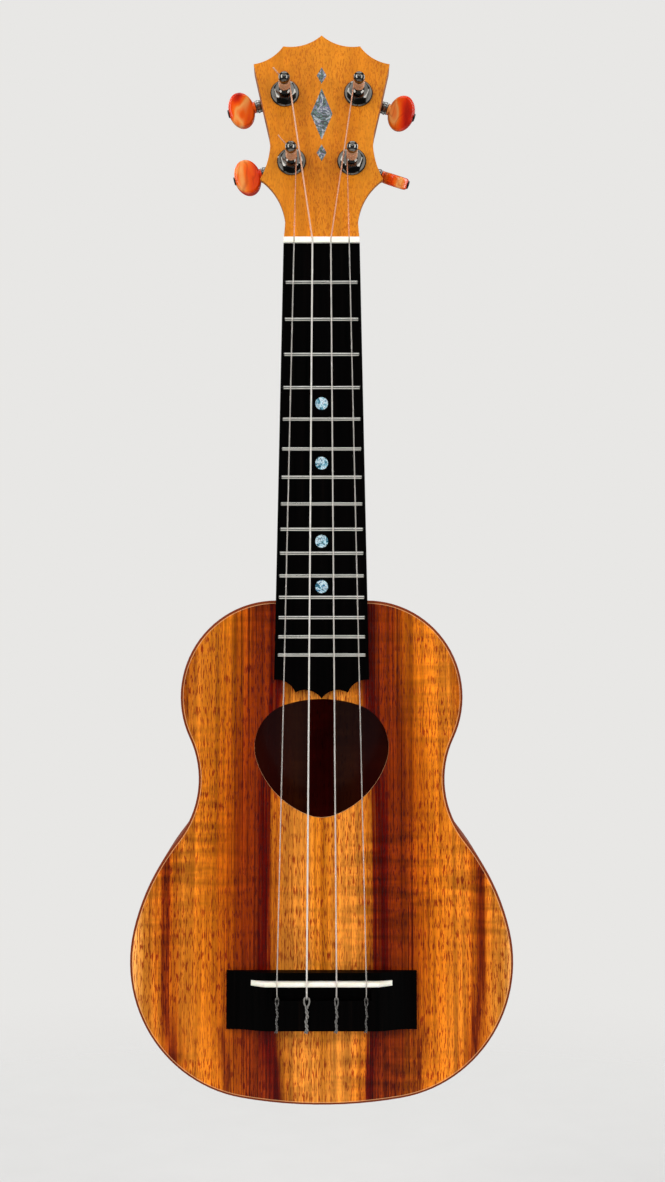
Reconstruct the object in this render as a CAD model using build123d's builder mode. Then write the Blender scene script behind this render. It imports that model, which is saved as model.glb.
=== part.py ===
from build123d import *
import os
from math import asin, copysign, cos, degrees, pi, radians, sin

os.makedirs("parts", exist_ok=True)

# A soprano ukulele, hanging upright: +Z runs up the neck, the strings face -Y, +X is the e and a string side.
# The origin is on the centre line, in the plane of the soundboard's face, at the strings' nut.

# scale, neck and fretboard
scale_length = 346.0
saddle_offset = 8.0
nut_thickness = 3.2
nut_width = 37.5
nut_height = 7.2
board_thickness = 4.8
board_length = 212.3
board_end_width = 45.6
board_bevel = 0.4
fret_count = 15
fret_crown = (2.0, 0.95)
fret_tang = (0.55, 2.0)
fret_inset = 1.3
slot_depth = 2.1
dot_frets = (5, 7, 10, 12)
dot_diameter = 6.2
dot_depth = 1.2
neck_depth = 13.0
neck_foot = (-125.0, 14.6)
neck_clearance = 0.2

# heel: z, depth of the section and how round its back is
heel_sections = (
    (-125.0, 14.6, 1.0),
    (-144.0, 18.0, 0.96),
    (-155.0, 30.0, 0.82),
    (-163.0, 56.0, 0.66),
    (-174.5, 100.0, 0.52),
)

# body
body_top = -174.5
heel_flat = 22.0
body_turns = ((46.0, 115.6), (45.5, -64.5), (103.5, 26.4), (64.0, 92.9))
plate_thickness = 2.0
rib_depth = 55.0
rib_thickness = 1.8
edge_round = 1.5
hole_top = -221.7
hole_turns = ((57.0, 18.0), (21.2, 91.1), (41.2, 51.2))
lining_width = 5.0
lining_height = 7.0
neck_block = (44.0, 18.0)
end_block = (36.0, 12.0)

# bolt that holds the neck: distance behind the soundboard's face, reach into the heel, then radii and heights
bolt_depth = 28.0
bolt_reach = 14.5
bolt_radius = 3.0
bolt_hole_radius = 3.2
bolt_washer = (7.0, 1.5)
bolt_head = (5.0, 6.0)
bolt_socket = 2.5

# bracing: z and half length of the cross braces, ends in z of the strips over the back's joint
brace_width = 6.0
brace_height = 8.0
top_brace_places = ((-213.0, 57.0), (-289.0, 56.5))
back_brace_places = ((-210.0, 57.0), (-300.0, 65.0), (-350.0, 78.0))
back_strip_ends = ((-207.0, -197.0), (-297.0, -213.0), (-347.0, -303.0), (-395.0, -353.0))
back_strip = (12.0, 2.0)
bridge_plate = (100.0, 2.0, 36.0)
fan_bar = (4.0, 5.0, 42.0)
fan_bar_places = (-30.0, 0.0, 30.0)
fan_bar_z = -318.0

# bridge and saddle
bridge_length = 90.0
bridge_top = -349.0
bridge_width = 26.8
bridge_height = 6.6
wing_height = 2.2
wing_start = 24.5
wing_end = 42.0
tie_block_front = -361.9
channel_front = -356.6
channel_height = 3.4
saddle_thickness = 2.5
saddle_half_length = 33.3
saddle_height = 9.8
saddle_bend = (23.0, 27.0)
saddle_bend_drop = 0.2
saddle_end_height = 6.0
saddle_crest_round = 1.2
saddle_seat = 2.0
tie_hole_height = 4.5
tie_hole_diameter = 1.6

# headstock
head_angle = 9.0
headplate_thickness = 2.0
head_core_thickness = 11.0
back_of_head = -(headplate_thickness + head_core_thickness)
# carving behind the flare: distance up the head, width, depth and how round the back is
flare_sections = (
    (-3.0, 36.6, 12.6, 1.0),
    (8.0, 36.8, 12.7, 0.92),
    (19.8, 43.6, 13.2, 0.78),
    (31.0, 62.4, 14.0, 0.62),
)
flare_end = (38.0, 107.0, 17.0, 1.0)
# a row of three lozenges let into the headplate: distance up the head, width and height
inlay_diamonds = ((66.0, 11.0, 28.0), (87.0, 5.0, 9.0), (45.0, 5.0, 9.0))
inlay_depth = 1.0

# strings: x at the nut, x at the saddle, diameter
strings = {
    "g": (-13.5, -21.0, 0.62),
    "c": (-4.5, -7.0, 0.84),
    "e": (4.5, 7.0, 0.72),
    "a": (13.5, 21.0, 0.58),
}
nut_slot_height = 6.0

# tuners: post place across and up the head, side, shaft droop, turn of the button, tail length and direction
tuners = {
    "g": (-15.0, 40.2, -1, 15.5, -3.0, 9.0, 135.0),
    "c": (-18.5, 77.2, -1, 15.5, -10.0, 7.8, 135.0),
    "e": (18.5, 77.2, 1, 19.5, 20.0, 3.4, 45.0),
    "a": (15.0, 40.2, 1, 19.5, 113.0, 3.4, 45.0),
}
post_height = 20.8
post_radius = 2.95
post_waist = 2.1
post_head = 2.85
post_seat = 1.6
# a post's dome: radius and drop at its middle
post_dome = (2.1, 0.55)
# distances below a post's tip: the dome's shoulder, the cap's end and the start of the waist
post_cap = (1.9, 3.4, 4.0)
post_collar = (0.9, 0.4)
post_shoulder = 1.0
running_gap = 0.05
winding_bottoms = {"g": 7.0, "c": 8.6, "e": 8.6, "a": 7.0}
winding_pitch = 0.72
tail_height = 16.0
tail_hole_radius = 0.65
string_gap = 0.15
washer_diameter = 14.5
washer_thickness = 1.3
hex_across = 10.0
hex_height = 3.7
hex_top = washer_thickness + hex_height
hex_bevel = (0.3, 2.6)
sleeve_radius = 4.0
sleeve_reach = 11.5
housing_front = 9.0
housing_rear = 8.0
housing_below = 5.0
housing_above = 8.5
housing_height = 8.6
housing_wall = 1.4
cover_thickness = 1.0
floor_height = 1.6
foot = (6.4, 5.0, 1.2)
foot_screw = 2.2
foot_screw_depth = 6.0
foot_screw_head = (1.8, 1.2)
cross_slot = (2.2, 0.5, 0.6)
teeth = 14
gear_module = 0.4
gear_face = 2.4
gear_level = 4.6
gear_root_radius = 2.35
gear_hub = (2.2, 1.0)
tooth_ends = (2.2, 3.15)
tooth_half_widths = (0.28, 0.13)
worm_pitch_radius = 1.9
worm_core_radius = 1.45
worm_run_out = 3.0
worm_turns = 6
thread_ends = (-0.55, 0.35)
thread_half_widths = (0.27, 0.12)
boss_end = 12.6
boss_radius = 3.1
boss_root = 0.5
journal_radius = 1.3
journal_ends = (-7.3, -5.2)
journal_gap = 0.2
shaft_radius = 2.0
shaft_start = 5.0
stem_radius = 1.8
# turned rings between the boss and the button: radius and distance from the boss
shaft_rings = (
    (2.0, 0.2),
    (3.3, 0.2),
    (3.3, 1.2),
    (2.7, 1.4),
    (2.7, 1.7),
    (3.1, 1.8),
    (3.1, 2.0),
    (1.8, 2.2),
)
stem_into_button = 2.0
button_centre = 22.1
button_size = (13.3, 18.5, 5.9)
button_edge = 1.5
button_neck = (2.9, 3.0)
button_gap = 2.3
screw_radius = 0.9
screw_head = (2.1, 0.6, 0.5)
screw_head_gap = 0.1
screw_crown_round = 0.4

SOUNDBOARD = Plane.XZ
HEAD_CORE = Plane(
    origin=(0, 0, nut_thickness),
    x_dir=(1, 0, 0),
    z_dir=(0, -cos(radians(head_angle)), sin(radians(head_angle))),
)
HEAD_FACE = HEAD_CORE.offset(headplate_thickness)
saddle_z = -(scale_length + saddle_offset)
centre_distance = gear_module * teeth / 2 + worm_pitch_radius
lead = pi * gear_module


def fret_z(number):
    """Distance of a fret below the nut, by equal temperament."""
    return -scale_length * (1 - 2 ** (-number / 12))


def board_width(z):
    """Width of the fretboard at a height."""
    return nut_width + (board_end_width - nut_width) * -z / board_length


def outline(top, flat, turns, inset=0.0):
    """A closed outline, the same left and right: a flat at the top, then tangent arcs of (radius, degrees).
    Negative degrees make the edge hollow. One closing arc crosses the centre line square."""
    with BuildSketch() as shape:
        with BuildLine():
            point = Vector(flat, top - inset)
            heading = Vector(1, 0)
            if flat:
                Line((0, top - inset), point)
            remaining = 180.0
            for radius, turn in turns:
                arc = JernArc(point, heading, radius - copysign(inset, turn), -turn)
                point = arc @ 1
                heading = arc % 1
                remaining -= turn
            JernArc(point, heading, point.X / sin(radians(remaining)), -remaining)
            mirror(about=Plane.YZ)
        make_face()
    return shape.sketch


def head_outline():
    """The headstock: flared tips above the nut, a waist, and a crown of five points."""
    with BuildSketch() as shape:
        with BuildLine():
            Line((0, -1), (18.6, -1))
            Line((18.6, -1), (18.0, 8))
            ThreePointArc((18.0, 8), (21.2, 19.8), (30.5, 31))
            ThreePointArc((30.5, 31), (27.2, 39.5), (25.7, 49))
            ThreePointArc((25.7, 49), (26.2, 55), (27.4, 61))
            Line((27.4, 61), (34.4, 93.3))
            ThreePointArc((34.4, 93.3), (27.3, 95.8), (19.5, 103.2))
            ThreePointArc((19.5, 103.2), (9.9, 103.7), (0, 109.3))
            mirror(about=Plane.YZ)
        make_face()
    return shape.sketch


def d_profile(width, depth, keel=1.0):
    """A neck's section: flat in front, rounded behind."""
    half = width / 2
    with BuildSketch() as shape:
        with BuildLine():
            Line((-half, 0), (half, 0))
            Bezier((half, 0), (half * keel, depth * 4 / 3), (-half * keel, depth * 4 / 3), (-half, 0))
        make_face()
    return shape.sketch


def diamond(width, height):
    """An upright lozenge."""
    with BuildSketch() as shape:
        Polygon((0, -height / 2), (width / 2, 0), (0, height / 2), (-width / 2, 0), align=None)
    return shape.sketch


def taper(ends, half_widths):
    """A tooth's shape, narrowing from its root to its tip along x."""
    root, tip = ends
    wide, narrow = half_widths
    with BuildSketch() as shape:
        Polygon((root, -wide), (tip, -narrow), (tip, narrow), (root, wide), align=None)
    return shape.sketch


def tuner_plane(name):
    """A tuner's own frame: origin where the post's axis leaves the back of the head.
    Its z points backwards and its x runs outwards along the button shaft."""
    across, up, side, droop, _, _, _ = tuners[name]
    back = HEAD_FACE.offset(back_of_head)
    origin = back.from_local_coords((across, up, 0))
    outward = back.x_dir * side * cos(radians(droop)) - back.y_dir * sin(radians(droop))
    return Plane(origin=origin, x_dir=outward, z_dir=-back.z_dir)


def head_section(up):
    """The plane square to the headstock, that far up it."""
    return Plane(
        origin=HEAD_CORE.from_local_coords((0, up, 0)),
        x_dir=HEAD_CORE.x_dir,
        z_dir=HEAD_CORE.y_dir,
    )


def axial(frame, origin=(0, 0, 0), along="z"):
    """A sketching plane whose x is a radius and whose y runs along one axis of the frame."""
    place = frame.from_local_coords(origin)
    if along == "z":
        return Plane(origin=place, x_dir=frame.x_dir, z_dir=-frame.y_dir)
    return Plane(origin=place, x_dir=frame.y_dir, z_dir=-frame.z_dir)


def section(*points):
    """A turned piece's half section, from (radius, distance) points that start and end on the axis."""
    with BuildSketch() as shape:
        with BuildLine():
            Polyline(*points, close=True)
        make_face()
    return shape.sketch


def string_path(name):
    """A string's centre line: over the tie block, through it, over the saddle and nut, and up to its post."""
    nut_x, saddle_x, diameter = strings[name]
    across, up = tuners[name][:2]
    rear = bridge_top - bridge_width - diameter / 2 - 0.4
    over_block = -(bridge_height + diameter / 2 + 0.05)
    apex = -(saddle_height + diameter / 2 + 0.02)
    nut_point = Vector(nut_x, -(nut_slot_height + diameter / 2 + 0.02), nut_thickness / 2)
    start = HEAD_FACE.to_local_coords(nut_point)
    run = Vector(across, up) - Vector(start.X, start.Y)
    reach = post_waist + winding_pitch + diameter / 2 + string_gap
    lean = degrees(asin(reach / run.length)) * copysign(1, across)
    length = (run.length**2 - reach**2) ** 0.5 - 0.3
    heading = Vector(run.X, run.Y).normalized().rotate(Axis.Z, lean)
    end = HEAD_FACE.from_local_coords(
        (start.X + heading.X * length, start.Y + heading.Y * length, winding_bottoms[name] + 0.8)
    )
    return [
        (saddle_x, over_block, tie_block_front - 0.8),
        (saddle_x, over_block, rear),
        (saddle_x, -tie_hole_height, rear),
        (saddle_x, -tie_hole_height, tie_block_front - 0.3),
        (saddle_x, apex, saddle_z - 0.65),
        nut_point,
        end,
    ]


body_outer = outline(body_top, heel_flat, body_turns)
body_inner = outline(body_top, heel_flat, body_turns, rib_thickness)
lining_inner = outline(body_top, heel_flat, body_turns, rib_thickness + lining_width)
sound_hole = outline(hole_top, 0, hole_turns)
head_shape = head_outline()
body_bottom = body_outer.bounding_box().min.Y
back_inside = plate_thickness + rib_depth
back_outside = back_inside + plate_thickness

# ---------------------------------------------------------------- body

with BuildPart() as soundboard:
    with BuildSketch(SOUNDBOARD):
        add(body_outer)
        add(sound_hole, mode=Mode.SUBTRACT)
    extrude(amount=-plate_thickness)
    face = soundboard.faces().sort_by(Axis.Y)[0]
    fillet(face.outer_wire().edges(), edge_round)
soundboard.part.label = "soundboard"
export_step(soundboard.part, "parts/soundboard.step")

with BuildPart() as back_plate:
    with BuildSketch(SOUNDBOARD.offset(-back_inside)):
        add(body_outer)
    extrude(amount=-plate_thickness)
    fillet(back_plate.faces().sort_by(Axis.Y)[-1].outer_wire().edges(), edge_round)
back_plate.part.label = "back_plate"
export_step(back_plate.part, "parts/back_plate.step")

for name, kept in (("side_left", Keep.BOTTOM), ("side_right", Keep.TOP)):
    with BuildPart() as side:
        with BuildSketch(SOUNDBOARD.offset(-plate_thickness)):
            add(body_outer)
            add(body_inner, mode=Mode.SUBTRACT)
        extrude(amount=-rib_depth)
        with Locations((0, bolt_depth, body_top)):
            Cylinder(bolt_hole_radius, 4 * rib_thickness, mode=Mode.SUBTRACT)
        split(bisect_by=Plane.YZ, keep=kept)
    side.part.label = name
    export_step(side.part, f"parts/{name}.step")

with BuildPart() as neck_block_part:
    with BuildSketch(SOUNDBOARD.offset(-plate_thickness)):
        add(body_inner)
        with Locations((0, body_top - rib_thickness)):
            Rectangle(*neck_block, align=(Align.CENTER, Align.MAX), mode=Mode.INTERSECT)
    extrude(amount=-rib_depth)
    with Locations((0, bolt_depth, body_top - neck_block[1] / 2)):
        Cylinder(bolt_hole_radius, 2 * neck_block[1], mode=Mode.SUBTRACT)
neck_block_part.part.label = "neck_block"
export_step(neck_block_part.part, "parts/neck_block.step")

with BuildPart() as end_block_part:
    with BuildSketch(SOUNDBOARD.offset(-plate_thickness)):
        add(body_inner)
        with Locations((0, body_bottom)):
            Rectangle(end_block[0], 2 * (end_block[1] + rib_thickness), mode=Mode.INTERSECT)
    extrude(amount=-rib_depth)
end_block_part.part.label = "end_block"
export_step(end_block_part.part, "parts/end_block.step")

with BuildPart() as linings:
    for depth in (plate_thickness, back_inside - lining_height):
        with BuildSketch(SOUNDBOARD.offset(-depth)):
            add(body_inner)
            add(lining_inner, mode=Mode.SUBTRACT)
        extrude(amount=-lining_height)
    with Locations((0, back_outside / 2, body_top)):
        Box(neck_block[0], back_outside, 4 * lining_width, mode=Mode.SUBTRACT)
    with Locations((0, back_outside / 2, body_bottom)):
        Box(end_block[0], back_outside, 4 * lining_width, mode=Mode.SUBTRACT)
linings.part.label = "linings"
export_step(linings.part, "parts/linings.step")

with BuildPart() as soundboard_braces:
    for z, half in top_brace_places:
        with Locations((0, plate_thickness + brace_height / 2, z)):
            Box(2 * half, brace_height, brace_width)
    with Locations((0, plate_thickness + bridge_plate[1] / 2, bridge_top - bridge_width / 2)):
        Box(*bridge_plate)
    for x in fan_bar_places:
        with Locations((x, plate_thickness + fan_bar[1] / 2, fan_bar_z)):
            Box(*fan_bar)
soundboard_braces.part.label = "soundboard_braces"
export_step(soundboard_braces.part, "parts/soundboard_braces.step")

with BuildPart() as back_braces:
    for z, half in back_brace_places:
        with Locations((0, back_inside - brace_height / 2, z)):
            Box(2 * half, brace_height, brace_width)
    for low, high in back_strip_ends:
        with Locations((0, back_inside - back_strip[1] / 2, (low + high) / 2)):
            Box(*back_strip, high - low)
back_braces.part.label = "back_braces"
export_step(back_braces.part, "parts/back_braces.step")

# ---------------------------------------------------------------- neck and headstock

with BuildPart() as heel:
    for z, depth, keel in heel_sections:
        with BuildSketch(Plane.XY.offset(z)):
            add(d_profile(board_width(z) - neck_clearance, depth, keel))
    loft()
    split(bisect_by=SOUNDBOARD.offset(-back_outside), keep=Keep.TOP)

# the flare's back is carved away towards its edges, and the carving runs out above the tips
with BuildPart() as head_envelope:
    for sections in (flare_sections, (flare_sections[-1], flare_end)):
        for up, width, depth, keel in sections:
            with BuildSketch(head_section(up)):
                add(d_profile(width, depth, keel))
        loft()

with BuildPart() as head_relief:
    with BuildSketch(HEAD_CORE):
        with Locations((0, flare_end[0])):
            Rectangle(140, 60, align=(Align.CENTER, Align.MAX))
    extrude(amount=-30)
    add(head_envelope.part, mode=Mode.SUBTRACT)

with BuildPart() as neck:
    with BuildSketch(HEAD_CORE):
        add(head_shape)
    extrude(amount=-head_core_thickness)
    add(head_relief.part, mode=Mode.SUBTRACT)
    for z, depth in ((nut_thickness + 3, neck_depth - 0.3), neck_foot):
        with BuildSketch(Plane.XY.offset(z)):
            add(d_profile(board_width(z) - neck_clearance, depth))
    loft()
    add(heel.part)
    split(bisect_by=SOUNDBOARD.offset(-back_inside), keep=Keep.TOP)
    with BuildSketch(HEAD_CORE):
        Rectangle(90, 260)
    extrude(amount=20, mode=Mode.SUBTRACT)
    # the nut's seat, level with the fretboard's
    with Locations((0, 0, nut_thickness)):
        Box(2 * nut_width, 20, 20, align=(Align.CENTER, Align.MAX, Align.MAX), mode=Mode.SUBTRACT)
    with Locations((0, bolt_depth, body_top)):
        Cylinder(bolt_radius, 2 * (bolt_reach + 1), mode=Mode.SUBTRACT)
    for name in tuners:
        with Locations(tuner_plane(name)):
            Cylinder(sleeve_radius, 60, mode=Mode.SUBTRACT)
            with Locations((-housing_rear - foot_screw, 0, 0)):
                Cylinder(screw_radius, 2 * foot_screw_depth + 1, mode=Mode.SUBTRACT)
neck.part.label = "neck"
export_step(neck.part, "parts/neck.step")

with BuildPart() as heel_cap:
    add(heel.part)
    split(bisect_by=SOUNDBOARD.offset(-back_inside), keep=Keep.BOTTOM)
heel_cap.part.label = "heel_cap"
export_step(heel_cap.part, "parts/heel_cap.step")

bolt_seat = body_top - rib_thickness - neck_block[1]
with BuildPart() as neck_bolt:
    with BuildSketch(Plane.XY.offset(bolt_seat)):
        with Locations((0, bolt_depth)):
            Circle(bolt_radius)
    extrude(amount=rib_thickness + neck_block[1] + bolt_reach)
    with BuildSketch(Plane.XY.offset(bolt_seat)):
        with Locations((0, bolt_depth)):
            Circle(bolt_washer[0])
    extrude(amount=-bolt_washer[1])
    with BuildSketch(Plane.XY.offset(bolt_seat - bolt_washer[1])):
        with Locations((0, bolt_depth)):
            Circle(bolt_head[0])
            RegularPolygon(bolt_socket, 6, major_radius=False, mode=Mode.SUBTRACT)
    extrude(amount=-bolt_head[1])
neck_bolt.part.label = "neck_bolt"
export_step(neck_bolt.part, "parts/neck_bolt.step")

with BuildPart() as headplate:
    with BuildSketch(HEAD_CORE):
        add(head_shape)
    extrude(amount=headplate_thickness)
    with Locations((0, 0, nut_thickness)):
        Box(80, 20, 20, align=(Align.CENTER, Align.CENTER, Align.MAX), mode=Mode.SUBTRACT)
    with BuildSketch(HEAD_FACE):
        for up, width, height in inlay_diamonds:
            with Locations((0, up)):
                add(diamond(width, height))
    extrude(amount=-inlay_depth, mode=Mode.SUBTRACT)
    for name in tuners:
        with Locations(tuner_plane(name)):
            Cylinder(sleeve_radius, 60, mode=Mode.SUBTRACT)
headplate.part.label = "headplate"
export_step(headplate.part, "parts/headplate.step")

with BuildPart() as headstock_inlay:
    with BuildSketch(HEAD_FACE):
        for up, width, height in inlay_diamonds:
            with Locations((0, up)):
                add(diamond(width, height))
    extrude(amount=-inlay_depth)
headstock_inlay.part.label = "headstock_inlay"
export_step(headstock_inlay.part, "parts/headstock_inlay.step")

# ---------------------------------------------------------------- fretboard, frets, dots, nut

BOARD_FACE = SOUNDBOARD.offset(board_thickness)

with BuildPart() as fretboard:
    with BuildSketch(SOUNDBOARD):
        with BuildLine():
            Line((0, 0), (nut_width / 2, 0))
            Line((nut_width / 2, 0), (board_end_width / 2, -board_length))
            ThreePointArc((board_end_width / 2, -board_length), (16.3, -213.9), (12.6, -218.4))
            ThreePointArc((12.6, -218.4), (7.4, -217.2), (0, -221.3))
            mirror(about=Plane.YZ)
        make_face()
    extrude(amount=board_thickness)
    face = fretboard.faces().sort_by(Axis.Y)[0]
    chamfer(face.edges().sort_by(Axis.Z)[:-1], board_bevel)
    for number in range(1, fret_count + 1):
        z = fret_z(number)
        with Locations((0, -board_thickness, z)):
            Box(board_width(z) - 2 * fret_inset, 2 * slot_depth, fret_tang[0], mode=Mode.SUBTRACT)
    for number in dot_frets:
        with Locations((0, -board_thickness, (fret_z(number) + fret_z(number - 1)) / 2)):
            Cylinder(dot_diameter / 2, 2 * dot_depth, rotation=(90, 0, 0), mode=Mode.SUBTRACT)
fretboard.part.label = "fretboard"
export_step(fretboard.part, "parts/fretboard.step")

with BuildPart() as frets:
    for number in range(1, fret_count + 1):
        z = fret_z(number)
        length = board_width(z) - 2 * fret_inset
        with BuildSketch(Plane(origin=(-length / 2, -board_thickness, z), x_dir=(0, 0, 1), z_dir=(1, 0, 0))):
            with BuildLine():
                half, crown = fret_crown[0] / 2, fret_crown[1]
                tang = fret_tang[0] / 2
                ThreePointArc((-half, 0), (0, crown), (half, 0))
                Line((half, 0), (tang, 0))
                Polyline((tang, 0), (tang, -fret_tang[1]), (-tang, -fret_tang[1]), (-tang, 0))
                Line((-tang, 0), (-half, 0))
            make_face()
        extrude(amount=length)
    ends = frets.edges().filter_by(GeomType.CIRCLE)
    chamfer(ends, 0.4)
frets.part.label = "frets"
export_step(frets.part, "parts/frets.step")

with BuildPart() as position_dots:
    for number in dot_frets:
        with BuildSketch(BOARD_FACE):
            with Locations((0, (fret_z(number) + fret_z(number - 1)) / 2)):
                Circle(dot_diameter / 2)
        extrude(amount=-dot_depth)
position_dots.part.label = "position_dots"
export_step(position_dots.part, "parts/position_dots.step")

with BuildPart() as nut:
    with BuildSketch(Plane(origin=(-nut_width / 2, 0, 0), x_dir=(0, 0, 1), z_dir=(1, 0, 0))):
        with BuildLine():
            Polyline((0, 0), (nut_thickness, 0), (nut_thickness, nut_height - 1.0), (0, nut_height), (0, 0))
        make_face()
    extrude(amount=nut_width)
    fillet(nut.faces().sort_by(Axis.Y)[0].edges(), 0.5)
    for nut_x, _, diameter in strings.values():
        with Locations((nut_x, -(nut_slot_height + diameter / 2), nut_thickness / 2)):
            Cylinder(diameter / 2 + 0.02, 3 * nut_thickness, mode=Mode.SUBTRACT)
            slot = (diameter + 0.04, 4, 3 * nut_thickness)
            Box(*slot, align=(Align.CENTER, Align.MAX, Align.CENTER), mode=Mode.SUBTRACT)
nut.part.label = "nut"
export_step(nut.part, "parts/nut.step")

# ---------------------------------------------------------------- bridge and saddle

with BuildPart() as bridge:
    with BuildSketch(Plane.XY.offset(bridge_top)):
        with BuildLine():
            half = bridge_length / 2
            wing_tip = Vector(wing_end, -wing_height)
            block_edge = Vector(wing_start, -bridge_height)
            Polyline((0, 0), (half, 0), (half, -wing_height), wing_tip)
            Spline(wing_tip, block_edge, tangents=((-1, 0), (-1, 0)))
            Line(block_edge, (0, -bridge_height))
            mirror(about=Plane.YZ)
        make_face()
    extrude(amount=-bridge_width)
    with BuildSketch(Plane.XZ.offset(channel_height)):
        with Locations((0, (channel_front + tie_block_front) / 2)):
            Rectangle(2 * wing_start - 2, channel_front - tie_block_front)
    extrude(amount=bridge_height, mode=Mode.SUBTRACT)
    with Locations((0, -saddle_seat, saddle_z)):
        slot = (2 * saddle_half_length, 20, saddle_thickness)
        Box(*slot, align=(Align.CENTER, Align.MAX, Align.CENTER), mode=Mode.SUBTRACT)
    for _, saddle_x, _ in strings.values():
        with Locations((saddle_x, -tie_hole_height, bridge_top - bridge_width)):
            Cylinder(tie_hole_diameter / 2, 2 * (bridge_width - 10), mode=Mode.SUBTRACT)
bridge.part.label = "bridge"
export_step(bridge.part, "parts/bridge.step")

with BuildPart() as saddle:
    with BuildSketch(Plane.XY.offset(saddle_z - saddle_thickness / 2)):
        with BuildLine():
            foot_end = Vector(saddle_half_length, -saddle_seat)
            crest_end = Vector(saddle_half_length, -saddle_end_height)
            crest_bend = Vector(saddle_bend[1], -saddle_height + saddle_bend_drop)
            crest_start = Vector(saddle_bend[0], -saddle_height)
            Polyline((0, -saddle_seat), foot_end, crest_end, crest_bend, crest_start, (0, -saddle_height))
            mirror(about=Plane.YZ)
        make_face()
    extrude(amount=saddle_thickness)
    crest = saddle.edges().filter_by(lambda edge: edge.center().Y < -saddle_end_height - 0.1)
    crest_lines = crest.filter_by(GeomType.LINE)
    fillet(crest_lines.filter_by(lambda edge: abs(edge.tangent_at(0).Z) < 0.5), saddle_crest_round)
saddle.part.label = "saddle"
export_step(saddle.part, "parts/saddle.step")

# ---------------------------------------------------------------- strings

for name, (_, _, diameter) in strings.items():
    with BuildPart() as string:
        with BuildLine() as path:
            FilletPolyline(*string_path(name), radius=[1.0, 1.0, 2.0, 2.0, 5.0])
        with BuildSketch(Plane(origin=path.line @ 0, z_dir=path.line % 0)):
            Circle(diameter / 2)
        sweep()
    string.part.label = f"string_{name}"
    export_step(string.part, f"parts/string_{name}.step")

# ---------------------------------------------------------------- tuners

with BuildPart() as washers:
    for name in tuners:
        with BuildSketch(tuner_plane(name).offset(back_of_head)):
            Circle(washer_diameter / 2)
            Circle(sleeve_radius + 0.05, mode=Mode.SUBTRACT)
        extrude(amount=-washer_thickness)
    rims = washers.edges().filter_by(GeomType.CIRCLE).filter_by(lambda edge: edge.radius > sleeve_radius + 1)
    chamfer(rims.filter_by(lambda edge: HEAD_FACE.to_local_coords(edge.arc_center).Z > 0.1), 0.5)
washers.part.label = "washers"
export_step(washers.part, "parts/washers.step")

with BuildPart() as bushing_nuts:
    for name in tuners:
        frame = tuner_plane(name)
        front = frame.offset(back_of_head - washer_thickness)
        with BuildSketch(front):
            RegularPolygon(hex_across / 2, 6, major_radius=False, rotation=30)
        extrude(amount=-hex_height)
        # a cone bevels the hexagon's corners
        with BuildSketch(axial(frame)):
            low = back_of_head - hex_top
            inner = hex_across / 2 - hex_bevel[0]
            add(section((inner, low), (hex_across, low), (hex_across, low + hex_bevel[1])))
        revolve(axis=Axis(frame.origin, frame.z_dir), mode=Mode.SUBTRACT)
        with BuildSketch(front):
            Circle(sleeve_radius)
        extrude(amount=washer_thickness + sleeve_reach)
        with BuildSketch(front.offset(-hex_height)):
            Circle(post_radius + running_gap)
        extrude(amount=hex_top + sleeve_reach, mode=Mode.SUBTRACT)
bushing_nuts.part.label = "bushing_nuts"
export_step(bushing_nuts.part, "parts/bushing_nuts.step")

with BuildPart() as mounting_screws:
    for name in tuners:
        frame = tuner_plane(name)
        hole = Plane(frame.from_local_coords((-housing_rear - foot_screw, 0, 0)), frame.x_dir, frame.z_dir)
        with BuildSketch(hole.offset(-foot_screw_depth)):
            Circle(screw_radius)
        extrude(amount=foot_screw_depth + floor_height)
        with BuildSketch(hole.offset(floor_height)):
            Circle(foot_screw_head[0])
        extrude(amount=foot_screw_head[1])
        with BuildSketch(hole.offset(floor_height + foot_screw_head[1])):
            Rectangle(cross_slot[0], cross_slot[1])
            Rectangle(cross_slot[1], cross_slot[0])
        extrude(amount=-cross_slot[2], mode=Mode.SUBTRACT)
mounting_screws.part.label = "mounting_screws"
export_step(mounting_screws.part, "parts/mounting_screws.step")

# the worm's thread and core, along Z from its middle
with BuildPart() as worm:
    half_length = worm_turns * lead / 2
    with BuildLine(Plane.XY.offset(-half_length)) as thread_path:
        Helix(lead, 2 * half_length, worm_pitch_radius)
    thread_start = thread_path.line @ 0
    with BuildSketch(Plane(origin=thread_start, x_dir=(1, 0, 0), z_dir=thread_path.line % 0)):
        add(taper(thread_ends, thread_half_widths))
    sweep(path=thread_path.line, is_frenet=True)
    Cylinder(worm_core_radius, 2 * half_length + worm_run_out)

# the worm wheel, in its own plane with one tooth up
with BuildPart() as wheel:
    with BuildSketch():
        Circle(gear_root_radius)
        with PolarLocations(0, teeth, start_angle=90):
            add(taper(tooth_ends, tooth_half_widths))
        Circle(post_seat, mode=Mode.SUBTRACT)
    extrude(amount=gear_face)
    with BuildSketch():
        Circle(gear_hub[0])
        Circle(post_seat, mode=Mode.SUBTRACT)
    extrude(amount=-gear_hub[1])

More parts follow.
